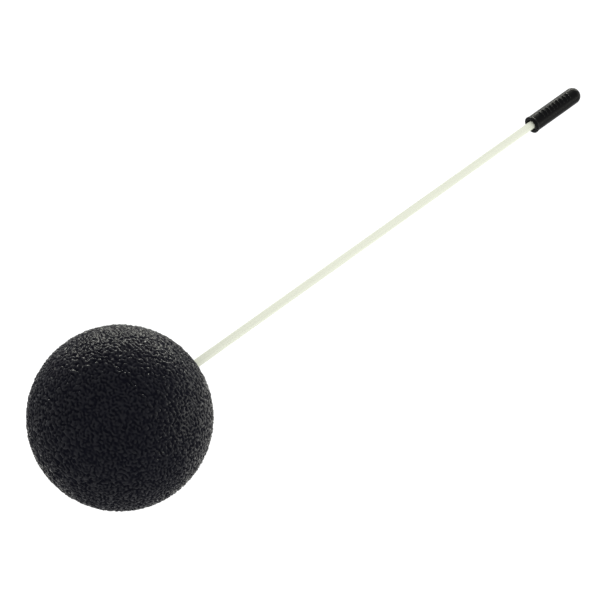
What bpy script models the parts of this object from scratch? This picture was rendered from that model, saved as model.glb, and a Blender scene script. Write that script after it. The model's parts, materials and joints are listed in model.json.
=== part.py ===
"""Friction mallet: a moulded rubber ball on a glass-fibre rod, with a push-on rubber grip.

The mallet lies as it would on a table, on the ball and on the grip's domed end, so the rod
slopes down towards the grip. The origin is on the table, under the middle of the object. The
rod runs towards +X and lies in the XZ plane. Every piece is turned about the rod's own axis,
which an empty carries: its Z runs along the rod from the ball towards the grip, its X points
down to the table, and its origin is the centre of the ball.
"""
import math

import bmesh
import bpy

MM = 0.001
GAP = 0.3 * MM                       # air left between two pieces that touch

# Ball
BALL_RADIUS = 41.5 * MM
BALL_SEGMENTS = 72
BALL_RINGS = 18                      # rings of faces on each side of the parting line
BORE_DEPTH = 50.0 * MM               # from the ball's surface, so the rod passes its centre
MOUTH_ROUNDING = 0.8 * MM
MOUTH_STEPS = 4
PARTING_OFFSET = -0.8 * MM           # the mould parts a little on the far side of the centre
PARTING_HALF_WIDTH = 0.45 * MM
PARTING_DEPTH = 0.3 * MM

# Rod
ROD_RADIUS = 2.0 * MM
ROD_LENGTH = 300.0 * MM
ROD_CHAMFER = 0.3 * MM
ROD_SEGMENTS = 40

# Adhesive in the ball's bore
ADHESIVE_WALL = 0.4 * MM
ADHESIVE_FLOOR = 1.0 * MM
FILLET_HEIGHT = 1.3 * MM
FILLET_STEPS = 5
FILLET_EDGE_ANGLE = math.radians(112.0)

# Grip
GRIP_RADIUS = 4.25 * MM
GRIP_LENGTH = 34.5 * MM
GRIP_SEGMENTS = 64
GRIP_BORE_DEPTH = 27.5 * MM
DOME_STEPS = 9
LIP_RADIUS = 4.5 * MM                # rolled lip round the mouth
LIP_ROUNDING = 0.45 * MM
LIP_LAND = 0.5 * MM                  # straight stretch of the lip's crest
LIP_RUN_OUT = 0.9 * MM               # the lip fades into the body over this length
LIP_STEPS = 4
LEAD_IN_RADIUS = 2.8 * MM
LEAD_IN_DEPTH = 2.0 * MM
LEAD_IN_EDGE = 0.15 * MM

# Raised ribs along the grip's upper side
RIB_COUNT = 9
RIB_PITCH = 2.4 * MM
RIB_FIRST = 6.6 * MM                 # from the grip's mouth to the middle of the first rib
RIB_WIDTH = 1.2 * MM
RIB_HEIGHT = 0.32 * MM
RIB_ROOT = 0.35 * MM                 # how far a rib's body reaches under the grip's skin
RIB_SWEEP = math.radians(58.0)       # how far a rib runs round the grip
RIB_MIDDLE = math.pi                 # the side that faces up as the mallet lies
RIB_SLICES = 10
RIB_CROWN_STEPS = 6
RIB_END_SCALE = 0.35                 # a rib's end section against its middle section

# Sizes that follow
BORE_RADIUS = ROD_RADIUS + ADHESIVE_WALL + 2.0 * GAP
BORE_FLOOR = BALL_RADIUS - BORE_DEPTH
ROD_START = BORE_FLOOR + ADHESIVE_FLOOR + 2.0 * GAP
ROD_END = ROD_START + ROD_LENGTH
GRIP_START = ROD_END + GAP - GRIP_BORE_DEPTH
GRIP_TIP = GRIP_START + GRIP_LENGTH
DOME_CENTRE = GRIP_TIP - GRIP_RADIUS
TILT = math.asin((BALL_RADIUS - GRIP_RADIUS) / DOME_CENTRE)
BALL_X = (BALL_RADIUS - DOME_CENTRE * math.cos(TILT) - GRIP_RADIUS) / 2.0

MERGE_DISTANCE = 0.002 * MM
SHARP_EDGE = math.radians(32.0)


def clear_scene():
    """Remove whatever objects the file starts with."""
    for found in list(bpy.data.objects):
        bpy.data.objects.remove(found, do_unlink=True)


def plain_material(name, colour, roughness):
    """A Principled material for one piece."""
    material = bpy.data.materials.new(name)
    material.use_nodes = True
    shader = material.node_tree.nodes["Principled BSDF"]
    shader.inputs["Base Color"].default_value = (*colour, 1.0)
    shader.inputs["Roughness"].default_value = roughness
    shader.inputs["Metallic"].default_value = 0.0
    return material


def arc(centre, radius, start, end, steps):
    """Points of an arc in the profile plane, from one angle to another."""
    points = []
    for step in range(steps + 1):
        angle = start + (end - start) * step / steps
        points.append((centre[0] + radius * math.cos(angle), centre[1] + radius * math.sin(angle)))
    return points


def turned_mesh(name, profile, segments):
    """Turn a profile of (radius, height) points about Z into one closed body."""
    shape = bmesh.new()
    corners = [shape.verts.new((radius, 0.0, height)) for radius, height in profile]
    edges = [shape.edges.new(pair) for pair in zip(corners, corners[1:])]
    bmesh.ops.spin(
        shape, geom=corners + edges, cent=(0.0, 0.0, 0.0), axis=(0.0, 0.0, 1.0),
        angle=2.0 * math.pi, steps=segments, use_merge=True,
    )
    bmesh.ops.remove_doubles(shape, verts=shape.verts, dist=MERGE_DISTANCE)
    bmesh.ops.recalc_face_normals(shape, faces=shape.faces)
    mesh = bpy.data.meshes.new(name)
    shape.to_mesh(mesh)
    shape.free()
    mesh.shade_smooth()
    mesh.set_sharp_from_angle(angle=SHARP_EDGE)
    return mesh


def place_piece(name, mesh, material, height, carrier):
    """Add a named piece to the scene, with its origin on the rod's axis."""
    piece = bpy.data.objects.new(name, mesh)
    piece.parent = carrier
    piece.location = (0.0, 0.0, height)
    bpy.context.scene.collection.objects.link(piece)
    if material is not None:
        mesh.materials.append(material)
    return piece


def rod_axis():
    """The empty on the rod's axis, at the ball's centre, sloped so the grip's end lies down."""
    axis = bpy.data.objects.new("rod_axis", None)
    axis.location = (BALL_X, 0.0, BALL_RADIUS)
    axis.rotation_euler = (0.0, math.pi / 2.0 + TILT, 0.0)
    bpy.context.scene.collection.objects.link(axis)
    return axis


def mouth_centre():
    """Centre of the rounding between the ball's surface and its bore, in the profile plane."""
    radius = BORE_RADIUS + MOUTH_ROUNDING
    reach = BALL_RADIUS - MOUTH_ROUNDING
    return radius, math.sqrt(reach ** 2 - radius ** 2)


def ball_profile():
    """The ball's outline: far pole, parting groove, rounded mouth, bore wall, bore floor."""
    half_angle = math.asin(PARTING_HALF_WIDTH / BALL_RADIUS)
    parting = math.asin(PARTING_OFFSET / BALL_RADIUS)
    centre = mouth_centre()
    tangent = math.atan2(centre[1], centre[0])
    origin = (0.0, 0.0)
    far_half = arc(origin, BALL_RADIUS, -math.pi / 2.0, parting - half_angle, BALL_RINGS)
    groove = arc(origin, BALL_RADIUS - PARTING_DEPTH, parting, parting, 1)[:1]
    near_half = arc(origin, BALL_RADIUS, parting + half_angle, tangent, BALL_RINGS)
    rounding = arc(centre, MOUTH_ROUNDING, tangent, math.pi, MOUTH_STEPS)[1:]
    return far_half + groove + near_half + rounding + [(BORE_RADIUS, BORE_FLOOR), (0.0, BORE_FLOOR)]


def make_ball(carrier):
    """The rubber ball with its blind bore."""
    mesh = turned_mesh("ball_head", ball_profile(), BALL_SEGMENTS)
    rubber = plain_material("ball_rubber", (0.011, 0.011, 0.014), 0.46)
    return place_piece("ball_head", mesh, rubber, 0.0, carrier)


def adhesive_profile():
    """The adhesive's outline: floor, outer wall, flared mouth, concave fillet, inner wall."""
    outer = BORE_RADIUS - GAP
    inner = ROD_RADIUS + GAP
    floor = BORE_FLOOR + GAP
    flare = arc(mouth_centre(), MOUTH_ROUNDING + GAP, math.pi, FILLET_EDGE_ANGLE, MOUTH_STEPS)
    edge = flare[-1]
    fillet = []
    for step in range(1, FILLET_STEPS + 1):
        left = 1.0 - step / FILLET_STEPS
        rise = 1.0 - left
        fillet.append((inner + (edge[0] - inner) * left ** 2, edge[1] + FILLET_HEIGHT * rise ** 2))
    inside = [(inner, floor + ADHESIVE_FLOOR), (0.0, floor + ADHESIVE_FLOOR)]
    return [(0.0, floor), (outer, floor)] + flare + fillet + inside


def make_adhesive(carrier):
    """The cured adhesive that bonds the rod in the ball."""
    mesh = turned_mesh("head_adhesive", adhesive_profile(), ROD_SEGMENTS)
    resin = plain_material("cured_adhesive", (0.62, 0.58, 0.45), 0.25)
    return place_piece("head_adhesive", mesh, resin, 0.0, carrier)


def make_rod(carrier):
    """The straight glass-fibre rod with chamfered ends."""
    shoulder = ROD_RADIUS - ROD_CHAMFER
    profile = [
        (0.0, 0.0),
        (shoulder, 0.0),
        (ROD_RADIUS, ROD_CHAMFER),
        (ROD_RADIUS, ROD_LENGTH - ROD_CHAMFER),
        (shoulder, ROD_LENGTH),
        (0.0, ROD_LENGTH),
    ]
    mesh = turned_mesh("shaft", profile, ROD_SEGMENTS)
    glass_fibre = plain_material("glass_fibre", (0.76, 0.79, 0.65), 0.38)
    return place_piece("shaft", mesh, glass_fibre, ROD_START, carrier)


def grip_profile():
    """The grip's outline: bore floor, bore, lead-in, mouth face, rolled lip, body, dome."""
    bore = ROD_RADIUS + GAP
    lip_centre = (LIP_RADIUS - LIP_ROUNDING, LIP_ROUNDING)
    land_end = LIP_ROUNDING + LIP_LAND
    inside = [(0.0, GRIP_BORE_DEPTH), (bore, GRIP_BORE_DEPTH), (bore, LEAD_IN_DEPTH)]
    mouth = [(LEAD_IN_RADIUS, LEAD_IN_EDGE), (LEAD_IN_RADIUS + LEAD_IN_EDGE, 0.0)]
    lip = arc(lip_centre, LIP_ROUNDING, -math.pi / 2.0, 0.0, LIP_STEPS)
    fade = []
    for step in range(LIP_STEPS + 1):
        share = step / LIP_STEPS
        ease = (1.0 + math.cos(math.pi * share)) / 2.0
        radius = GRIP_RADIUS + (LIP_RADIUS - GRIP_RADIUS) * ease
        fade.append((radius, land_end + LIP_RUN_OUT * share))
    dome_centre = (0.0, GRIP_LENGTH - GRIP_RADIUS)
    dome = arc(dome_centre, GRIP_RADIUS, 0.0, math.pi / 2.0, DOME_STEPS)
    return inside + mouth + lip + fade + dome


def rib_section(angle, scale):
    """One slice through a rib: a flat root under the skin and a rounded crown above it."""
    half_width = RIB_WIDTH * scale / 2.0
    section = [(GRIP_RADIUS - RIB_ROOT, half_width), (GRIP_RADIUS - RIB_ROOT, -half_width)]
    for step in range(RIB_CROWN_STEPS + 1):
        turn = math.pi * step / RIB_CROWN_STEPS
        radius = GRIP_RADIUS + RIB_HEIGHT * scale * math.sin(turn)
        section.append((radius, -half_width * math.cos(turn)))
    return [(radius * math.cos(angle), radius * math.sin(angle), height) for radius, height in section]


def add_rib(shape, middle):
    """Loft one rib round the grip through its slices, and cap both ends."""
    rings = []
    for index in range(RIB_SLICES + 1):
        share = 2.0 * index / RIB_SLICES - 1.0
        angle = RIB_MIDDLE + RIB_SWEEP / 2.0 * share
        scale = RIB_END_SCALE + (1.0 - RIB_END_SCALE) * math.sqrt(1.0 - share ** 4)
        points = rib_section(angle, scale)
        rings.append([shape.verts.new((x, y, z + middle)) for x, y, z in points])
    count = len(rings[0])
    for ring, following in zip(rings, rings[1:]):
        for index in range(count):
            after = (index + 1) % count
            shape.faces.new((ring[index], ring[after], following[after], following[index]))
    shape.faces.new(rings[0])
    shape.faces.new(rings[-1])


def make_ribs(carrier):
    """The raised ribs as one joining shape, which the grip takes in."""
    shape = bmesh.new()
    for index in range(RIB_COUNT):
        add_rib(shape, RIB_FIRST + index * RIB_PITCH)
    bmesh.ops.recalc_face_normals(shape, faces=shape.faces)
    mesh = bpy.data.meshes.new("grip_ribs")
    shape.to_mesh(mesh)
    shape.free()
    ribs = place_piece("grip_ribs", mesh, None, GRIP_START, carrier)
    ribs.hide_render = True
    ribs.display_type = "WIRE"
    return ribs


def make_grip(carrier):
    """The push-on rubber grip with its lip, bore, domed end and raised ribs."""
    mesh = turned_mesh("grip_cap", grip_profile(), GRIP_SEGMENTS)
    rubber = plain_material("grip_rubber", (0.012, 0.012, 0.013), 0.34)
    grip = place_piece("grip_cap", mesh, rubber, GRIP_START, carrier)
    union = grip.modifiers.new("raised_ribs", "BOOLEAN")
    union.operation = "UNION"
    union.solver = "EXACT"
    union.object = make_ribs(carrier)
    return grip


def main():
    clear_scene()
    axis = rod_axis()
    make_ball(axis)
    make_adhesive(axis)
    make_rod(axis)
    make_grip(axis)
    bpy.context.view_layer.update()


main()
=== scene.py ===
"""Friction mallet: a wrinkled rubber ball on a glass-fibre rod, with a ribbed rubber grip.

Each piece is modelled about the rod's own axis and then laid where the solid model has it.
In those axes the origin is the ball's centre, Z runs along the rod towards the grip, and X
points down to the table.
"""

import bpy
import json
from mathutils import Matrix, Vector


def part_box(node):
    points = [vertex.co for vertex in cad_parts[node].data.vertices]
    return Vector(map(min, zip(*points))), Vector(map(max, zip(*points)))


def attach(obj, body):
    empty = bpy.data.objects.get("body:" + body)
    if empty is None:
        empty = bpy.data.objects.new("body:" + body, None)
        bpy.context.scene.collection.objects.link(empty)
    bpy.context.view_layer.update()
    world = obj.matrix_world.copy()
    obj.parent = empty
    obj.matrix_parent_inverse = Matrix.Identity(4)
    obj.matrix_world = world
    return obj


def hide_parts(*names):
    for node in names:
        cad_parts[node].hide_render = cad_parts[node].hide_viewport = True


bl_info = {
    "name": "Friction Mallet",
    "version": (1, 0, 0),
    "blender": (4, 5, 0),
    "location": "3D View > Sidebar > Mallet",
    "description": "Models a friction mallet: wrinkled rubber ball, glass-fibre rod and ribbed grip",
    "category": "Add Mesh",
}

import json
import math

import bmesh
import bpy
from bpy.props import FloatProperty, FloatVectorProperty, IntProperty, PointerProperty
from mathutils import Matrix, Vector

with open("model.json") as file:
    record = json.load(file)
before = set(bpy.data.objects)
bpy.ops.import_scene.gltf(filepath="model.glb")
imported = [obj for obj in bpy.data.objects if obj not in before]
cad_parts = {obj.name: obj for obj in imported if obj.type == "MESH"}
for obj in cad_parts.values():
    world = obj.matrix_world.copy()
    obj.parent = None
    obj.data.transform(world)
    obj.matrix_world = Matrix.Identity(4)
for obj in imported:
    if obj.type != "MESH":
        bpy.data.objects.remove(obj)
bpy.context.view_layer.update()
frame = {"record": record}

MM = 0.001

# Places and sizes that the solid model gives
BALL_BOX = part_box("ball_head")
ROD_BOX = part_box("shaft")
GRIP_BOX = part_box("grip_cap")
SHOULDER = frame["record"]["mounts"][0]
ROD_DIRECTION = -Vector(SHOULDER["axis"]).normalized()
BALL_RADIUS = (BALL_BOX[1].y - BALL_BOX[0].y) / 2.0
BALL_CENTRE = Vector(((BALL_BOX[0].x + BALL_BOX[1].x) / 2.0, 0.0, BALL_RADIUS))
ROD_RADIUS = (ROD_BOX[1].y - ROD_BOX[0].y) / 2.0
LIP_RADIUS = (GRIP_BOX[1].y - GRIP_BOX[0].y) / 2.0
GRIP_START = (Vector(SHOULDER["pos_m"]) - BALL_CENTRE).dot(ROD_DIRECTION)
TABLEWARD = Vector((0.0, 1.0, 0.0)).cross(ROD_DIRECTION)
AXES = Matrix((TABLEWARD, Vector((0.0, 1.0, 0.0)), ROD_DIRECTION)).transposed().to_4x4()
AXES.translation = BALL_CENTRE

# Sizes shared by pieces that meet
GAP = 0.3 * MM
ADHESIVE_WALL = 0.4 * MM
ADHESIVE_FLOOR = 1.0 * MM
BORE_DEPTH = 50.0 * MM
BORE_RADIUS = ROD_RADIUS + ADHESIVE_WALL + 2.0 * GAP
BORE_FLOOR = BALL_RADIUS - BORE_DEPTH
MOUTH_ROUNDING = 0.8 * MM
ROD_START = BORE_FLOOR + ADHESIVE_FLOOR + 2.0 * GAP

# How far apart in the noise two seeds of the wrinkled skin lie, in wrinkle spacings
SEED_STEP = 13.7

# Colours of the stage
WHITE = (1.0, 1.0, 1.0, 1.0)
TABLE_GREY = (0.1, 0.1, 0.1, 1.0)
LAMP_COLOUR = (1.0, 1.0, 0.88)

# The photograph's frame and what was measured in it
PHOTO_SIZE = 600.0
FOCAL_PIXELS = 2000.0
SENSOR_WIDTH = 36.0
BALL_IN_PHOTO = (120.19, 417.69)
BALL_DEPTH = 0.8903


class BallSettings(bpy.types.PropertyGroup):
    """Sizes and colours of the ball's skin."""
    segments: IntProperty(
        name="Segments", description="Faces round the ball's middle, a multiple of 32",
        default=480, min=64)
    ridge_spacing: FloatProperty(
        name="Wrinkle Spacing", description="Usual distance from one wrinkle to the next",
        default=1.74 * MM, unit="LENGTH")
    ridge_height: FloatProperty(
        name="Wrinkle Height", description="Height of the wrinkles over their creases",
        default=0.7 * MM, unit="LENGTH")
    wander: FloatProperty(
        name="Wander", description="How far the wrinkles bend, in wrinkle spacings", default=0.5)
    seed: IntProperty(name="Seed", description="Which wrinkled skin is drawn", default=7)
    parting_offset: FloatProperty(
        name="Parting Offset", description="How far the mould line lies towards the rod",
        default=-0.8 * MM, unit="LENGTH")
    parting_width: FloatProperty(
        name="Parting Width", description="Width of the mould line's groove",
        default=0.8 * MM, unit="LENGTH")
    parting_depth: FloatProperty(
        name="Parting Depth", description="Depth of the mould line's groove",
        default=0.16 * MM, unit="LENGTH")
    colour: FloatVectorProperty(
        name="Colour", description="Colour of the rubber", subtype="COLOR", size=3,
        default=(0.0040, 0.0041, 0.0068))
    roughness: FloatProperty(
        name="Roughness", description="Roughness of the wrinkles' crests",
        default=0.22, subtype="FACTOR")


class RodSettings(bpy.types.PropertyGroup):
    """Sizes and colours of the glass-fibre rod."""
    length: FloatProperty(
        name="Length", description="Cut length of the rod", default=300.0 * MM, unit="LENGTH")
    chamfer: FloatProperty(
        name="Chamfer", description="Chamfer at the rod's cut ends", default=0.3 * MM, unit="LENGTH")
    fibre_height: FloatProperty(
        name="Fibre Height", description="Height of the drawn fibres that show in the surface",
        default=0.012 * MM, unit="LENGTH")
    colour: FloatVectorProperty(
        name="Colour", description="Colour of the glass-fibre resin", subtype="COLOR", size=3,
        default=(0.85, 0.877, 0.735))
    roughness: FloatProperty(
        name="Roughness", description="Roughness of the drawn surface",
        default=0.5, subtype="FACTOR")


class AdhesiveSettings(bpy.types.PropertyGroup):
    """Sizes and colours of the adhesive round the rod in the ball's mouth."""
    fillet_height: FloatProperty(
        name="Fillet Height", description="How far the adhesive climbs along the rod",
        default=1.3 * MM, unit="LENGTH")
    colour: FloatVectorProperty(
        name="Colour", description="Colour of the cured adhesive", subtype="COLOR", size=3,
        default=(0.50, 0.47, 0.36))


class GripSettings(bpy.types.PropertyGroup):
    """Sizes and colours of the grip."""
    radius: FloatProperty(
        name="Radius", description="Radius of the grip's body", default=4.25 * MM, unit="LENGTH")
    length: FloatProperty(
        name="Length", description="Length of the grip", default=34.5 * MM, unit="LENGTH")
    bore_depth: FloatProperty(
        name="Bore Depth", description="Depth of the rod's bore", default=27.5 * MM, unit="LENGTH")
    rib_count: IntProperty(name="Ribs", description="Raised ribs along one side", default=9)
    rib_first: FloatProperty(
        name="First Rib", description="From the mouth to the first rib's middle",
        default=6.6 * MM, unit="LENGTH")
    rib_pitch: FloatProperty(
        name="Rib Pitch", description="From one rib to the next", default=2.4 * MM, unit="LENGTH")
    rib_width: FloatProperty(
        name="Rib Width", description="Width of a rib at its root", default=1.3 * MM, unit="LENGTH")
    rib_height: FloatProperty(
        name="Rib Height", description="How far a rib stands proud", default=0.32 * MM, unit="LENGTH")
    rib_sweep: FloatProperty(
        name="Rib Sweep", description="How far a rib runs round the grip",
        default=math.radians(58.0), subtype="ANGLE")
    colour: FloatVectorProperty(
        name="Colour", description="Colour of the rubber", subtype="COLOR", size=3,
        default=(0.0028, 0.0028, 0.0031))
    roughness: FloatProperty(
        name="Roughness", description="Roughness of the moulded rubber",
        default=0.36, subtype="FACTOR")


class StageSettings(bpy.types.PropertyGroup):
    """Floor, lights and camera."""
    camera_elevation: FloatProperty(
        name="Camera Elevation", description="How steeply the camera looks down",
        default=math.radians(61.86), subtype="ANGLE")
    camera_azimuth: FloatProperty(
        name="Camera Azimuth", description="Turn of the camera about the vertical",
        default=math.radians(-42.03), subtype="ANGLE")
    floor_glow: FloatProperty(
        name="Floor Glow", description="Light that the lit table gives by itself", default=1.11)
    sky: FloatProperty(name="Room Light", description="Light from the room all round", default=0.95)
    back_light: FloatProperty(
        name="Back Light", description="Power of the soft light behind the mallet",
        default=410.0, unit="POWER")
    side_light: FloatProperty(
        name="Side Light", description="Power of the soft light on the right",
        default=21.0, unit="POWER")
    low_light: FloatProperty(
        name="Low Light", description="Power of the lit table to the ball's right and behind it",
        default=16.0, unit="POWER")


class MalletSettings(bpy.types.PropertyGroup):
    """All the mallet's settings."""
    ball: PointerProperty(type=BallSettings)
    rod: PointerProperty(type=RodSettings)
    adhesive: PointerProperty(type=AdhesiveSettings)
    grip: PointerProperty(type=GripSettings)
    stage: PointerProperty(type=StageSettings)


# Node helpers

def add_node(tree, kind, inputs=None, output=0, **options):
    """Add a node, set its options, feed its inputs, and give back one of its outputs."""
    made = tree.nodes.new(kind)
    for name, value in options.items():
        setattr(made, name, value)
    for name, value in (inputs or {}).items():
        if isinstance(value, bpy.types.NodeSocket):
            tree.links.new(value, made.inputs[name])
        else:
            made.inputs[name].default_value = value
    return made.outputs[output]


def calculate(tree, operation, first, second=0.0):
    """A Math node on numbers or sockets."""
    return add_node(tree, "ShaderNodeMath", {0: first, 1: second}, operation=operation)


def vector_step(tree, operation, first, second=None, scale=None):
    """A Vector Math node on vectors or sockets."""
    inputs = {0: first}
    if second is not None:
        inputs[1] = second
    if scale is not None:
        inputs["Scale"] = scale
    return add_node(tree, "ShaderNodeVectorMath", inputs, operation=operation)


def remap(tree, value, low, high, new_low=0.0, new_high=1.0):
    """Ease a range of numbers onto another, held at both ends."""
    inputs = {"Value": value, "From Min": low, "From Max": high, "To Min": new_low, "To Max": new_high}
    return add_node(tree, "ShaderNodeMapRange", inputs, interpolation_type="SMOOTHSTEP")


def noise(tree, vector, scale, detail=0.0, output="Fac", **inputs):
    """A three-dimensional noise read at a vector."""
    values = {"Vector": vector, "Scale": scale, "Detail": detail, **inputs}
    return add_node(tree, "ShaderNodeTexNoise", values, output)


def mix_colours(tree, share, first, second):
    """Blend two colours by a share; 6, 7 and 2 are the Mix node's sockets for colours."""
    inputs = {"Factor": share, 6: first, 7: second}
    return add_node(tree, "ShaderNodeMix", inputs, 2, data_type="RGBA")


def new_rule(name, inputs):
    """Start a Geometry Nodes tree with named inputs; give back the tree and its input sockets."""
    tree = bpy.data.node_groups.new(name, "GeometryNodeTree")
    tree.interface.new_socket("Geometry", in_out="INPUT", socket_type="NodeSocketGeometry")
    for label, kind in inputs.items():
        tree.interface.new_socket(label, in_out="INPUT", socket_type=f"NodeSocket{kind}")
    tree.interface.new_socket("Geometry", in_out="OUTPUT", socket_type="NodeSocketGeometry")
    return tree, tree.nodes.new("NodeGroupInput").outputs


def skin_share(tree):
    """How textured a point is, as its piece's rings say."""
    return add_node(tree, "GeometryNodeInputNamedAttribute", {"Name": "skin"}, data_type="FLOAT")


def off_axis(tree, place):
    """Direction straight out from the rod's axis."""
    flat = vector_step(tree, "MULTIPLY", place, (1.0, 1.0, 0.0))
    return vector_step(tree, "NORMALIZE", flat)


def push_out(tree, geometry, direction, distance):
    """Move a mesh's points along a direction by a distance."""
    offset = vector_step(tree, "SCALE", direction, scale=distance)
    return add_node(tree, "GeometryNodeSetPosition", {"Geometry": geometry, "Offset": offset})


def end_rule(tree, geometry, material):
    """Finish a tree: real geometry, smooth faces and its material, joined to the output."""
    real = add_node(tree, "GeometryNodeRealizeInstances", {"Geometry": geometry})
    smooth = add_node(tree, "GeometryNodeSetShadeSmooth", {"Geometry": real})
    painted = add_node(tree, "GeometryNodeSetMaterial", {"Geometry": smooth, "Material": material})
    result = tree.nodes.new("NodeGroupOutput")
    tree.links.new(painted, result.inputs["Geometry"])


def run_rule(piece, tree, values):
    """Set a tree's inputs on a piece and turn its result into the piece's plain mesh."""
    modifier = piece.modifiers.new(tree.name, "NODES")
    modifier.node_group = tree
    for item in tree.interface.items_tree:
        if item.in_out == "INPUT" and item.name in values:
            modifier[item.identifier] = values[item.name]
    piece.update_tag()
    bpy.context.view_layer.update()
    evaluated = piece.evaluated_get(bpy.context.evaluated_depsgraph_get())
    result = bpy.data.meshes.new_from_object(evaluated)
    piece.modifiers.remove(modifier)
    piece.data = result
    result.name = piece.name


# Meshes and pieces

def spread(low, high, steps):
    """Evenly spaced numbers from one value to another, without the first."""
    return [low + (high - low) * step / steps for step in range(1, steps + 1)]


def arc(centre, radius, start, end, steps):
    """Points of an arc in the profile plane, from one angle to another."""
    turn = (end - start) / steps
    angles = [start + turn * step for step in range(steps + 1)]
    return [(centre[0] + radius * math.cos(a), centre[1] + radius * math.sin(a)) for a in angles]


def add_ring(shape, radius, height, count):
    """Add a ring of points round Z, or a single point where the count is one."""
    if count == 1:
        return [shape.verts.new((0.0, 0.0, height))]
    turns = [2.0 * math.pi * index / count for index in range(count)]
    return [shape.verts.new((radius * math.cos(t), radius * math.sin(t), height)) for t in turns]


def join_rings(shape, first, second):
    """Face the band between two rings, of which one may have half the other's points."""
    if len(first) == 1 or len(second) == 1:
        tip, ring = (first, second) if len(first) == 1 else (second, first)
        for index, point in enumerate(ring):
            shape.faces.new((tip[0], point, ring[(index + 1) % len(ring)]))
        return
    coarse, fine = (first, second) if len(first) <= len(second) else (second, first)
    for index, point in enumerate(coarse):
        following = coarse[(index + 1) % len(coarse)]
        if len(coarse) == len(fine):
            shape.faces.new((point, fine[index], fine[(index + 1) % len(fine)], following))
            continue
        left, middle, right = (fine[(2 * index + step) % len(fine)] for step in range(3))
        shape.faces.new((point, left, middle))
        shape.faces.new((point, middle, following))
        shape.faces.new((following, middle, right))


def turned_piece(name, rings, skin=None):
    """Make an object from (radius, height, count) rings; skin says how textured each ring is."""
    shape = bmesh.new()
    layer = shape.verts.layers.float.new("skin")
    before = None
    for index, (radius, height, count) in enumerate(rings):
        ring = add_ring(shape, radius, height, count)
        for point in ring:
            point[layer] = skin[index] if skin else 1.0
        if before:
            join_rings(shape, before, ring)
        before = ring
    bmesh.ops.recalc_face_normals(shape, faces=shape.faces)
    mesh = bpy.data.meshes.new(name)
    shape.to_mesh(mesh)
    shape.free()
    mesh.shade_smooth()
    piece = bpy.data.objects.new(name, mesh)
    bpy.context.scene.collection.objects.link(piece)
    return piece


def seat_piece(piece, node, sharp=math.radians(40.0)):
    """Lay a finished piece along the rod's axis, and let it stand for its solid."""
    piece.data.transform(AXES)
    piece.data.set_sharp_from_angle(angle=sharp)
    piece.data.update()
    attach(piece, "root")
    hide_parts(node)


def light_up(piece, *lamps):
    """Let the named lamps, which shine on chosen pieces only, fall on a piece."""
    for lamp in lamps:
        bpy.data.collections[lamp].objects.link(piece)


# Materials

def new_material(name, roughness, specular):
    """A Principled material; give back the material, its tree and its shader."""
    material = bpy.data.materials.new(name)
    material.use_nodes = True
    shader = material.node_tree.nodes["Principled BSDF"]
    shader.inputs["Roughness"].default_value = roughness
    shader.inputs["Specular IOR Level"].default_value = specular
    return material, material.node_tree, shader


def rod_coordinates(tree):
    """Coordinates turned so that Z runs along the rod, with the ball's centre at nought."""
    place = add_node(tree, "ShaderNodeTexCoord", output="Object")
    mapping = tree.nodes.new("ShaderNodeMapping")
    mapping.vector_type = "TEXTURE"
    mapping.inputs["Location"].default_value = AXES.to_translation()
    mapping.inputs["Rotation"].default_value = AXES.to_euler()
    tree.links.new(place, mapping.inputs["Vector"])
    return mapping.outputs["Vector"]


def bump(tree, shader, height, distance, strength):
    """Raise a shader's surface by a height field."""
    inputs = {"Height": height, "Distance": distance, "Strength": strength}
    tree.links.new(add_node(tree, "ShaderNodeBump", inputs), shader.inputs["Normal"])


def shade(colour, share):
    """An opaque colour, made darker or lighter by a share."""
    return (*(Vector(colour) * share), 1.0)


def wrinkle_relief(tree, place, frequency, wander, shift):
    """Height of the wrinkled skin, from 0 in its creases to 1 on its winding crests."""
    bend_scale = 0.8
    cell_scale = 0.75
    waves_per_cell = 1.333
    crease_level = 0.3
    crest_level = 0.78
    on_ball = vector_step(tree, "SCALE", vector_step(tree, "NORMALIZE", place), scale=BALL_RADIUS)
    scaled = vector_step(tree, "ADD", vector_step(tree, "SCALE", on_ball, scale=frequency), shift)
    stray = noise(tree, scaled, bend_scale, output="Color")
    sway = vector_step(tree, "SUBTRACT", stray, (0.5, 0.5, 0.5))
    bent = vector_step(tree, "ADD", scaled, vector_step(tree, "SCALE", sway, scale=wander))
    waves = {"Vector": bent, "Scale": cell_scale, "Frequency": waves_per_cell, "Anisotropy": 0.0}
    worms = add_node(tree, "ShaderNodeTexGabor", waves, "Value", gabor_type="3D")
    return remap(tree, worms, crease_level, crest_level)


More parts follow.
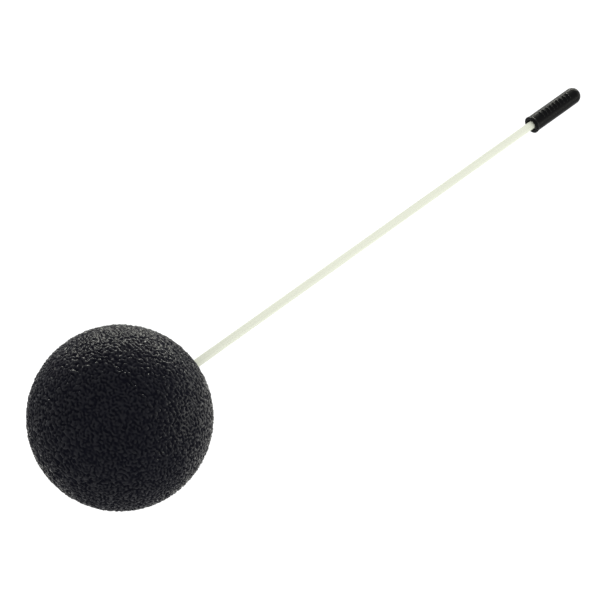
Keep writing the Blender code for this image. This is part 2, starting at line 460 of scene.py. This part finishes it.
def ball_rubber(settings):
    """Black moulded rubber: dull and darkened by painted shade in the creases, with a thin gloss where
    the wrinkles stand up.
    """
    coat_roughness = 0.25
    thickest_coat = 0.26
    crease_roughness = 0.9
    patchiness = 0.05
    bloom_share = 0.35
    grain_share = 0.03
    bump_share = 0.2
    material, tree, shader = new_material("ball_rubber", settings.roughness, specular=0.01)
    shader.inputs["Coat Roughness"].default_value = coat_roughness
    place = add_node(tree, "ShaderNodeTexCoord", output="Object")
    relief = wrinkle_relief(tree, rod_coordinates(tree), 1.0 / settings.ridge_spacing,
                            settings.wander, (settings.seed * SEED_STEP,) * 3)
    skin = add_node(tree, "ShaderNodeAttribute", output="Fac", attribute_name="skin")

    # Painted shade: the creases get a darker colour than the crests, for the shade that falls in them.
    painted_crease_shade = shade(settings.colour, 1.1)
    crest = shade(settings.colour, 1.3)
    dusty = shade(settings.colour, 1.5)
    tone = mix_colours(tree, relief, painted_crease_shade, crest)
    bloom = remap(tree, noise(tree, place, scale=55.0, detail=3.0), low=0.35, high=0.75)
    dust = calculate(tree, "MULTIPLY", bloom, bloom_share)
    tree.links.new(mix_colours(tree, dust, tone, dusty), shader.inputs["Base Color"])

    coat = remap(tree, relief, low=0.0, high=0.9, new_high=thickest_coat)
    tree.links.new(coat, shader.inputs["Coat Weight"])
    worn = remap(tree, relief, low=0.05, high=0.8, new_low=crease_roughness, new_high=settings.roughness)
    handled = noise(tree, place, scale=120.0, detail=2.0)
    patch = remap(tree, handled, low=0.3, high=0.7, new_low=-patchiness, new_high=patchiness)
    tree.links.new(calculate(tree, "ADD", worn, patch), shader.inputs["Roughness"])

    grain = noise(tree, place, scale=1800.0, detail=2.0, Roughness=0.6)
    wrinkles = calculate(tree, "MULTIPLY", relief, skin)
    height = calculate(tree, "ADD", wrinkles, calculate(tree, "MULTIPLY", grain, grain_share))
    bump(tree, shader, height, settings.ridge_height * bump_share, strength=1.0)
    return material


def glass_fibre(settings):
    """Milky glass fibre: drawn streaks along the rod in colour, gloss and relief."""
    lengthwise = 0.018
    milk_share = 0.5
    fleck_share = 0.25
    fleck_colour = (0.55, 0.55, 0.42, 1.0)
    matt_streak = settings.roughness + 0.08
    glossy_streak = settings.roughness - 0.06
    streak_height = 0.03 * MM
    material, tree, shader = new_material("glass_fibre", settings.roughness, specular=0.2)
    along = rod_coordinates(tree)
    drawn = vector_step(tree, "MULTIPLY", along, (1.0, 1.0, lengthwise))
    streak = noise(tree, drawn, scale=1500.0, detail=3.0, Roughness=0.6)

    pale = shade(settings.colour, 1.02)
    dull = shade(settings.colour, 0.94)
    tone = mix_colours(tree, remap(tree, streak, low=0.34, high=0.68), dull, pale)
    broad = noise(tree, drawn, scale=420.0, detail=1.0)
    milk = remap(tree, broad, low=0.35, high=0.7, new_high=milk_share)
    milky = mix_colours(tree, milk, tone, pale)
    fleck = remap(tree, noise(tree, along, scale=900.0, detail=1.0), low=0.70, high=0.78)
    flecks = calculate(tree, "MULTIPLY", fleck, fleck_share)
    tree.links.new(mix_colours(tree, flecks, milky, fleck_colour), shader.inputs["Base Color"])

    gloss = remap(tree, streak, low=0.3, high=0.7, new_low=matt_streak, new_high=glossy_streak)
    tree.links.new(gloss, shader.inputs["Roughness"])
    bump(tree, shader, streak, streak_height, strength=0.6)
    return material


def cured_adhesive(settings):
    """Clear cured resin with a few small bubbles."""
    clearness = 0.35
    bubble_colour = (0.75, 0.74, 0.68, 1.0)
    cloud_height = 0.08 * MM
    material, tree, shader = new_material("cured_adhesive", roughness=0.16, specular=0.5)
    shader.inputs["Transmission Weight"].default_value = clearness
    place = add_node(tree, "ShaderNodeTexCoord", output="Object")
    cloud = noise(tree, place, scale=600.0, detail=2.0)
    deep = shade(settings.colour, 0.8)
    thin = shade(settings.colour, 1.15)
    tone = mix_colours(tree, cloud, deep, thin)
    cells = add_node(tree, "ShaderNodeTexVoronoi", {"Vector": place, "Scale": 1400.0}, "Distance")
    bubble = remap(tree, cells, low=0.10, high=0.22, new_low=1.0, new_high=0.0)
    tree.links.new(mix_colours(tree, bubble, tone, bubble_colour), shader.inputs["Base Color"])
    gloss = remap(tree, cloud, low=0.3, high=0.7, new_low=0.12, new_high=0.24)
    tree.links.new(gloss, shader.inputs["Roughness"])
    bump(tree, shader, cloud, cloud_height, strength=0.5)
    return material


def grip_rubber(settings):
    """Black moulded rubber, half glossy, finer in grain than the ball."""
    worn_share = 0.5
    rib_polish = 0.07
    matt_smear = settings.roughness + 0.07
    glossy_smear = settings.roughness - 0.04
    grain_height = 0.04 * MM
    material, tree, shader = new_material("grip_rubber", settings.roughness, specular=0.055)
    place = add_node(tree, "ShaderNodeTexCoord", output="Object")
    relief = add_node(tree, "ShaderNodeAttribute", output="Fac", attribute_name="relief")
    smear = noise(tree, place, scale=260.0, detail=3.0)

    dark = shade(settings.colour, 0.8)
    pale = shade(settings.colour, 1.3)
    rubbed = shade(settings.colour, 1.8)
    tone = mix_colours(tree, smear, dark, pale)
    wear = remap(tree, relief, low=0.5, high=1.0, new_high=worn_share)
    tree.links.new(mix_colours(tree, wear, tone, rubbed), shader.inputs["Base Color"])

    handled = remap(tree, smear, low=0.3, high=0.7, new_low=matt_smear, new_high=glossy_smear)
    polished = remap(tree, relief, low=0.4, high=1.0, new_high=rib_polish)
    tree.links.new(calculate(tree, "SUBTRACT", handled, polished), shader.inputs["Roughness"])
    grain = noise(tree, place, scale=2600.0, detail=2.0)
    bump(tree, shader, grain, grain_height, strength=0.2)
    return material


# The ball

def mouth_centre():
    """Centre of the rounding between the ball's surface and its bore, in the profile plane."""
    radius = BORE_RADIUS + MOUTH_ROUNDING
    reach = BALL_RADIUS - MOUTH_ROUNDING
    return radius, math.sqrt(reach ** 2 - radius ** 2)


def ball_latitudes(settings, last):
    """Latitudes from the far pole to the mouth, closer together across the mould line."""
    close_share = 0.35
    line_widths = 1.4
    coarse = 2.0 * math.pi / settings.segments
    line = math.asin(settings.parting_offset / BALL_RADIUS)
    near = line_widths * settings.parting_width / BALL_RADIUS
    latitude = -math.pi / 2.0 + coarse
    found = []
    while latitude < last - coarse / 2.0:
        found.append(latitude)
        latitude += coarse * (close_share if abs(latitude - line) < near else 1.0)
    return found + [last]


def points_round(segments, latitude):
    """Points in a ring: halved each time that the ring has shrunk to half its size."""
    most_halvings = 5
    smallest = 1.0e-6
    halvings = min(most_halvings, int(math.log2(1.0 / max(math.cos(latitude), smallest))))
    return segments // 2 ** halvings


def ball_rings(settings):
    """The ball's rings, and how wrinkled each one is."""
    fade_start = 0.3 * MM
    fade = 2.5 * MM
    centre = mouth_centre()
    tangent = math.atan2(centre[1], centre[0])
    rings = [(0.0, -BALL_RADIUS, 1)]
    for latitude in ball_latitudes(settings, tangent):
        reach = BALL_RADIUS * math.cos(latitude)
        height = BALL_RADIUS * math.sin(latitude)
        rings.append((reach, height, points_round(settings.segments, latitude)))
    mouth_reach, _, count = rings[-1]
    skin = [1.0] * len(rings)
    for index, (reach, height, _) in enumerate(rings):
        if height > 0.0:
            skin[index] = min(1.0, max(0.0, (reach - mouth_reach + fade_start) / fade))
    inside = arc(centre, MOUTH_ROUNDING, tangent, math.pi, steps=8)[1:]
    inside += [(BORE_RADIUS, height) for height in spread(centre[1], BORE_FLOOR, steps=12)]
    rings += [(reach, height, count) for reach, height in inside]
    rings += [(BORE_RADIUS / 2.0, BORE_FLOOR, count // 2), (0.0, BORE_FLOOR, 1)]
    return rings, skin + [0.0] * (len(inside) + 2)


def mould_line(tree, height, skin, given):
    """A shallow groove round the ball with soft lips, measured in its own half width and depth."""
    lip_place = 1.3
    lip_width = 0.8
    lip_height = 0.3
    away = calculate(tree, "ABSOLUTE", calculate(tree, "SUBTRACT", height, given["Parting Offset"]))
    half_width = calculate(tree, "MULTIPLY", given["Parting Width"], 0.5)
    reach = calculate(tree, "DIVIDE", away, half_width)
    groove = calculate(tree, "MULTIPLY", remap(tree, reach, 0.0, 1.0, -1.0, 0.0), skin)
    from_lip = calculate(tree, "ABSOLUTE", calculate(tree, "SUBTRACT", reach, lip_place))
    lips = calculate(tree, "MULTIPLY", remap(tree, from_lip, 0.0, lip_width, lip_height, 0.0), skin)
    return calculate(tree, "MULTIPLY", calculate(tree, "ADD", groove, lips), given["Parting Depth"])


def wrinkled_skin_rule():
    """Wrinkles swelling about the solid's surface between creases, and the mould line."""
    level_of_solid = 0.6
    tree, given = new_rule("Wrinkled Skin", {
        "Wrinkle Spacing": "Float", "Wrinkle Height": "Float", "Wander": "Float", "Seed": "Int",
        "Parting Offset": "Float", "Parting Width": "Float", "Parting Depth": "Float",
        "Material": "Material"})
    place = add_node(tree, "GeometryNodeInputPosition")
    skin = skin_share(tree)
    shift = calculate(tree, "MULTIPLY", given["Seed"], SEED_STEP)
    frequency = calculate(tree, "DIVIDE", 1.0, given["Wrinkle Spacing"])
    relief = wrinkle_relief(tree, place, frequency, given["Wander"], shift)
    sunk = calculate(tree, "SUBTRACT", relief, level_of_solid)
    raised = calculate(tree, "MULTIPLY", sunk, given["Wrinkle Height"])
    textured = calculate(tree, "MULTIPLY", raised, skin)
    height = add_node(tree, "ShaderNodeSeparateXYZ", {"Vector": place}, "Z")
    distance = calculate(tree, "ADD", textured, mould_line(tree, height, skin, given))
    outward = vector_step(tree, "NORMALIZE", place)
    end_rule(tree, push_out(tree, given["Geometry"], outward, distance), given["Material"])
    return tree


# The adhesive

def adhesive_rings(settings):
    """A sleeve with a floor, which follows the ball's mouth and climbs the rod as a fillet."""
    around = 96
    off_rod = 0.05 * MM
    off_mouth = 0.1 * MM
    below_flare = 0.5 * MM
    flare_end = math.radians(108.0)
    outer = BORE_RADIUS - GAP
    inner = ROD_RADIUS + off_rod
    floor = BORE_FLOOR + GAP
    flare = arc(mouth_centre(), MOUTH_ROUNDING + off_mouth, math.pi, flare_end, steps=8)
    edge_reach, edge_height = flare[-1]
    fillet = []
    for rise in spread(0.0, 1.0, steps=10):
        reach = inner + (edge_reach - inner) * (1.0 - rise) ** 2
        fillet.append((reach, edge_height + settings.fillet_height * rise ** 2))
    profile = [(outer, floor)]
    profile += [(outer, height) for height in spread(floor, flare[0][1] - below_flare, steps=12)]
    profile += flare + fillet
    profile += [(inner, height) for height in spread(fillet[-1][1], floor + ADHESIVE_FLOOR, steps=12)]
    rings = [(0.0, floor, 1)] + [(reach, height, around) for reach, height in profile]
    return rings + [(0.0, floor + ADHESIVE_FLOOR, 1)]


# The rod

def rod_rings(settings):
    """The rod's rings, chamfered at both cut ends, and how textured each one is."""
    around = 112
    shoulder = ROD_RADIUS - settings.chamfer
    start = ROD_START + settings.chamfer
    end = ROD_START + settings.length
    heights = [start] + spread(start, end - settings.chamfer, steps=220)
    rings = [(0.0, ROD_START, 1), (shoulder, ROD_START, around)]
    rings += [(ROD_RADIUS, height, around) for height in heights]
    rings += [(shoulder, end, around), (0.0, end, 1)]
    return rings, [0.0, 0.0] + [1.0] * len(heights) + [0.0, 0.0]


def drawn_fibres_rule():
    """Fine ridges along the rod, as the glass fibres show in a drawn surface."""
    seed_step = 10.0 * MM
    lengthwise = 0.02
    middle = 0.5
    tree, given = new_rule("Drawn Fibres", {
        "Fibre Height": "Float", "Seed": "Int", "Material": "Material"})
    place = add_node(tree, "GeometryNodeInputPosition")
    shifted = vector_step(tree, "ADD", place, calculate(tree, "MULTIPLY", given["Seed"], seed_step))
    drawn = vector_step(tree, "MULTIPLY", shifted, (1.0, 1.0, lengthwise))
    fibres = noise(tree, drawn, scale=2200.0, detail=1.0)
    height = calculate(tree, "DIVIDE", calculate(tree, "SUBTRACT", fibres, middle), middle)
    faded = calculate(tree, "MULTIPLY", height, skin_share(tree))
    raised = calculate(tree, "MULTIPLY", faded, given["Fibre Height"])
    end_rule(tree, push_out(tree, given["Geometry"], off_axis(tree, place), raised), given["Material"])
    return tree


# The grip

def grip_outline(settings):
    """The grip's profile from the bore's floor round its mouth to the tip of the dome."""
    bore = ROD_RADIUS + GAP
    lead_in = 2.8 * MM
    lead_taper = 0.2 * MM
    lead_depth = 2.0 * MM
    edge = 0.15 * MM
    rounding = 0.45 * MM
    land = 0.5 * MM
    run_out = 0.9 * MM
    inside = [(bore, settings.bore_depth)]
    inside += [(bore, height) for height in spread(settings.bore_depth, lead_depth, steps=10)]
    for share in spread(0.0, 1.0, steps=4):
        inside.append((lead_in - lead_taper * (1.0 - share), edge + (lead_depth - edge) * (1.0 - share)))
    mouth = arc((lead_in + edge, edge), edge, math.pi, 1.5 * math.pi, steps=4)
    flat_end = LIP_RADIUS - rounding
    mouth += [(radius, 0.0) for radius in spread(lead_in + edge, flat_end, steps=3)]
    lip = arc((flat_end, rounding), rounding, -math.pi / 2.0, 0.0, steps=8)[1:]
    lip.append((LIP_RADIUS, rounding + land))
    fade = []
    for share in spread(0.0, 1.0, steps=8):
        ease = (1.0 + math.cos(math.pi * share)) / 2.0
        reach = settings.radius + (LIP_RADIUS - settings.radius) * ease
        fade.append((reach, rounding + land + run_out * share))
    dome_start = settings.length - settings.radius
    body = [(settings.radius, height) for height in spread(fade[-1][1], dome_start, steps=230)]
    dome = arc((0.0, dome_start), settings.radius, 0.0, math.pi / 2.0, steps=28)[1:-1]
    return inside, mouth + lip + fade + body, dome


def grip_rings(settings):
    """The grip's rings, with the bore's floor and the dome's tip closed by single points."""
    around = 160
    inside, outside, dome = grip_outline(settings)
    rings = [(0.0, settings.bore_depth, 1)]
    rings += [(reach, height, around) for reach, height in inside + outside]
    for reach, height in dome:
        rings.append((reach, height, points_round(around, math.acos(reach / settings.radius))))
    rings.append((0.0, settings.length, 1))
    skin = [0.0] * (len(inside) + 1) + [1.0] * (len(rings) - len(inside) - 1)
    return [(reach, height + GRIP_START, count) for reach, height, count in rings], skin


def raised_ribs_rule():
    """A row of raised ribs with round ends, set across the grip's upper side."""
    flat_share = 0.25
    tree, given = new_rule("Raised Ribs", {
        "Start": "Float", "Count": "Int", "First": "Float", "Pitch": "Float", "Width": "Float",
        "Height": "Float", "Sweep": "Float", "Radius": "Float", "Material": "Material"})
    place = add_node(tree, "GeometryNodeInputPosition")
    parts = tree.nodes.new("ShaderNodeSeparateXYZ")
    tree.links.new(place, parts.inputs["Vector"])
    x, y, z = parts.outputs
    from_mouth = calculate(tree, "SUBTRACT", z, given["Start"])
    from_first = calculate(tree, "SUBTRACT", from_mouth, given["First"])
    last = calculate(tree, "SUBTRACT", given["Count"], 1.0)
    nearest = calculate(tree, "ROUND", calculate(tree, "DIVIDE", from_first, given["Pitch"]))
    index = calculate(tree, "MINIMUM", calculate(tree, "MAXIMUM", nearest, 0.0), last)
    along = calculate(tree, "SUBTRACT", from_first, calculate(tree, "MULTIPLY", index, given["Pitch"]))
    angle = calculate(tree, "ARCTAN2", y, calculate(tree, "MULTIPLY", x, -1.0))
    half_width = calculate(tree, "MULTIPLY", given["Width"], 0.5)
    half_sweep = calculate(tree, "MULTIPLY", given["Sweep"], 0.5)
    half_run = calculate(tree, "MULTIPLY", half_sweep, given["Radius"])
    straight = calculate(tree, "SUBTRACT", half_run, half_width)
    across = calculate(tree, "MULTIPLY", calculate(tree, "ABSOLUTE", angle), given["Radius"])
    beyond = calculate(tree, "MAXIMUM", calculate(tree, "SUBTRACT", across, straight), 0.0)
    along_squared = calculate(tree, "POWER", calculate(tree, "ABSOLUTE", along), 2.0)
    beyond_squared = calculate(tree, "POWER", beyond, 2.0)
    distance = calculate(tree, "SQRT", calculate(tree, "ADD", along_squared, beyond_squared))
    share = calculate(tree, "DIVIDE", distance, half_width)
    crown = remap(tree, share, flat_share, 1.0, 1.0, 0.0)
    relief = calculate(tree, "MULTIPLY", crown, skin_share(tree))
    proud = calculate(tree, "MULTIPLY", relief, given["Height"])
    moved = push_out(tree, given["Geometry"], off_axis(tree, place), proud)
    kept = add_node(
        tree, "GeometryNodeStoreNamedAttribute", {"Geometry": moved, "Name": "relief", "Value": relief},
        data_type="FLOAT", domain="POINT")
    end_rule(tree, kept, given["Material"])
    return tree


# Operators

class MALLET_OT_stage(bpy.types.Operator):
    """Set the white floor, the soft lights and the camera"""
    bl_idname = "mallet.stage"
    bl_label = "Stage"

    def execute(self, context):
        settings = context.scene.mallet.stage
        context.scene.view_settings.view_transform = "Standard"
        self.lay_floor(settings)
        self.light_room(context.scene, settings)
        self.hang_lights(settings)
        self.place_camera(context.scene, settings)
        return {"FINISHED"}

    def lay_floor(self, settings):
        """A wide white table, lit from within."""
        reach = 12.0
        corners = [(-reach, -reach, 0.0), (reach, -reach, 0.0), (reach, reach, 0.0), (-reach, reach, 0.0)]
        mesh = bpy.data.meshes.new("floor")
        mesh.from_pydata(corners, [], [(0, 1, 2, 3)])
        floor = bpy.data.objects.new("floor", mesh)
        bpy.context.scene.collection.objects.link(floor)
        material, _, shader = new_material("floor", roughness=0.8, specular=0.1)
        shader.inputs["Base Color"].default_value = TABLE_GREY
        shader.inputs["Emission Color"].default_value = WHITE
        shader.inputs["Emission Strength"].default_value = settings.floor_glow
        mesh.materials.append(material)

    def light_room(self, scene, settings):
        """Even white light from all round."""
        world = bpy.data.worlds.new("room")
        world.use_nodes = True
        background = world.node_tree.nodes["Background"]
        background.inputs["Color"].default_value = WHITE
        background.inputs["Strength"].default_value = settings.sky
        scene.world = world

    def hang_lights(self, settings):
        """Two soft lights that stand on edge behind and on the right, and one lying on the table."""
        edge_height = 0.3
        back_distance = 4.0
        back_length = 5.6
        side_distance = 2.2
        side_length = 2.2
        side_rise = 0.05
        table_side = 2.0
        left_of_ball = 0.072
        before_ball = 0.036
        over_table = 1.0 * MM
        turn = settings.camera_azimuth
        behind = Vector((-math.sin(turn), math.cos(turn), 0.0))
        right = Vector((math.cos(turn), math.sin(turn), 0.0))
        up = Vector((0.0, 0.0, 1.0))
        self.hang_light("back_light", settings.back_light, behind * back_distance, -behind, right,
                        (back_length, edge_height))
        beside = right * side_distance + up * side_rise
        self.hang_light("side_light", settings.side_light, beside, -right, behind,
                        (side_length, edge_height))
        rightward = right * (table_side / 2.0 - left_of_ball)
        backward = behind * (table_side / 2.0 - before_ball)
        on_table = rightward + backward - up * (BALL_RADIUS - over_table)
        self.hang_light("low_light", settings.low_light, on_table, up, right, (table_side, table_side))

    def hang_light(self, name, power, place, aim, along, size):
        """One soft light, at a place seen from the ball's centre, that only chosen pieces catch."""
        light = bpy.data.lights.new(name, "AREA")
        light.shape = "RECTANGLE"
        light.energy = power
        light.color = LAMP_COLOUR
        light.size, light.size_y = size
        lamp = bpy.data.objects.new(name, light)
        lamp.location = BALL_CENTRE + place
        lamp.rotation_euler = Matrix((along, along.cross(aim), -aim)).transposed().to_euler()
        lamp.visible_camera = False
        lamp.light_linking.receiver_collection = bpy.data.collections.new(name)
        bpy.context.scene.collection.objects.link(lamp)

    def place_camera(self, scene, settings):
        """The photograph's view: the ball's centre falls on its place in the picture."""
        tilt = settings.camera_elevation
        turn = settings.camera_azimuth
        level = math.cos(tilt)
        forward = Vector((-math.sin(turn) * level, math.cos(turn) * level, -math.sin(tilt)))
        right = Vector((math.cos(turn), math.sin(turn), 0.0))
        up = right.cross(forward)
        middle = PHOTO_SIZE / 2.0
        across = (BALL_IN_PHOTO[0] - middle) / FOCAL_PIXELS * BALL_DEPTH
        rise = (middle - BALL_IN_PHOTO[1]) / FOCAL_PIXELS * BALL_DEPTH
        data = bpy.data.cameras.new("camera")
        data.sensor_width = SENSOR_WIDTH
        data.lens = FOCAL_PIXELS / PHOTO_SIZE * SENSOR_WIDTH
        camera = bpy.data.objects.new("camera", data)
        camera.location = BALL_CENTRE - forward * BALL_DEPTH - right * across - up * rise
        camera.rotation_euler = Matrix((right, up, -forward)).transposed().to_euler()
        scene.collection.objects.link(camera)
        scene.camera = camera


class MALLET_OT_ball(bpy.types.Operator):
    """Model the wrinkled rubber ball with its bore and mould line"""
    bl_idname = "mallet.ball"
    bl_label = "Ball"

    def execute(self, context):
        settings = context.scene.mallet.ball
        rings, skin = ball_rings(settings)
        ball = turned_piece("wrinkled_ball", rings, skin)
        run_rule(ball, wrinkled_skin_rule(), {
            "Wrinkle Spacing": settings.ridge_spacing, "Wrinkle Height": settings.ridge_height,
            "Wander": settings.wander, "Seed": settings.seed,
            "Parting Offset": settings.parting_offset, "Parting Width": settings.parting_width,
            "Parting Depth": settings.parting_depth, "Material": ball_rubber(settings)})
        seat_piece(ball, "ball_head", sharp=math.radians(75.0))
        light_up(ball, "back_light", "side_light", "low_light")
        return {"FINISHED"}


class MALLET_OT_rod(bpy.types.Operator):
    """Model the glass-fibre rod"""
    bl_idname = "mallet.rod"
    bl_label = "Rod"

    def execute(self, context):
        settings = context.scene.mallet.rod
        fibre_seed = 3
        rings, skin = rod_rings(settings)
        rod = turned_piece("glass_fibre_rod", rings, skin)
        run_rule(rod, drawn_fibres_rule(), {
            "Fibre Height": settings.fibre_height, "Seed": fibre_seed, "Material": glass_fibre(settings)})
        seat_piece(rod, "shaft")
        return {"FINISHED"}


class MALLET_OT_adhesive(bpy.types.Operator):
    """Model the adhesive that holds the rod in the ball"""
    bl_idname = "mallet.adhesive"
    bl_label = "Adhesive"

    def execute(self, context):
        settings = context.scene.mallet.adhesive
        adhesive = turned_piece("adhesive_fillet", adhesive_rings(settings))
        adhesive.data.materials.append(cured_adhesive(settings))
        seat_piece(adhesive, "head_adhesive")
        return {"FINISHED"}


class MALLET_OT_grip(bpy.types.Operator):
    """Model the ribbed rubber grip"""
    bl_idname = "mallet.grip"
    bl_label = "Grip"

    def execute(self, context):
        settings = context.scene.mallet.grip
        rings, skin = grip_rings(settings)
        grip = turned_piece("ribbed_grip", rings, skin)
        run_rule(grip, raised_ribs_rule(), {
            "Start": GRIP_START, "Count": settings.rib_count, "First": settings.rib_first,
            "Pitch": settings.rib_pitch, "Width": settings.rib_width,
            "Height": settings.rib_height, "Sweep": settings.rib_sweep,
            "Radius": settings.radius, "Material": grip_rubber(settings)})
        seat_piece(grip, "grip_cap")
        light_up(grip, "back_light", "side_light")
        return {"FINISHED"}


class MALLET_PT_panel(bpy.types.Panel):
    """Sidebar panel with the mallet's pieces and settings"""
    bl_label = "Friction Mallet"
    bl_idname = "MALLET_PT_panel"
    bl_space_type = "VIEW_3D"
    bl_region_type = "UI"
    bl_category = "Mallet"

    def draw(self, context):
        mallet = context.scene.mallet
        for part in MAKING_ORDER:
            group = getattr(mallet, part)
            box = self.layout.box()
            box.operator(f"mallet.{part}")
            for name in group.__annotations__:
                box.prop(group, name)


MAKING_ORDER = ("stage", "ball", "adhesive", "rod", "grip")

CLASSES = (
    BallSettings, RodSettings, AdhesiveSettings, GripSettings, StageSettings, MalletSettings,
    MALLET_OT_stage, MALLET_OT_ball, MALLET_OT_adhesive, MALLET_OT_rod, MALLET_OT_grip,
    MALLET_PT_panel,
)


def register():
    """Make the settings, the operators and the panel known."""
    for kind in CLASSES:
        bpy.utils.register_class(kind)
    bpy.types.Scene.mallet = PointerProperty(type=MalletSettings)


def unregister():
    """Take the panel, the operators and the settings away again."""
    del bpy.types.Scene.mallet
    for kind in reversed(CLASSES):
        bpy.utils.unregister_class(kind)


def main():
    """Make the stage and every piece in order."""
    register()
    for part in MAKING_ORDER:
        getattr(bpy.ops.mallet, part)()


if __name__ == "__main__":
    main()
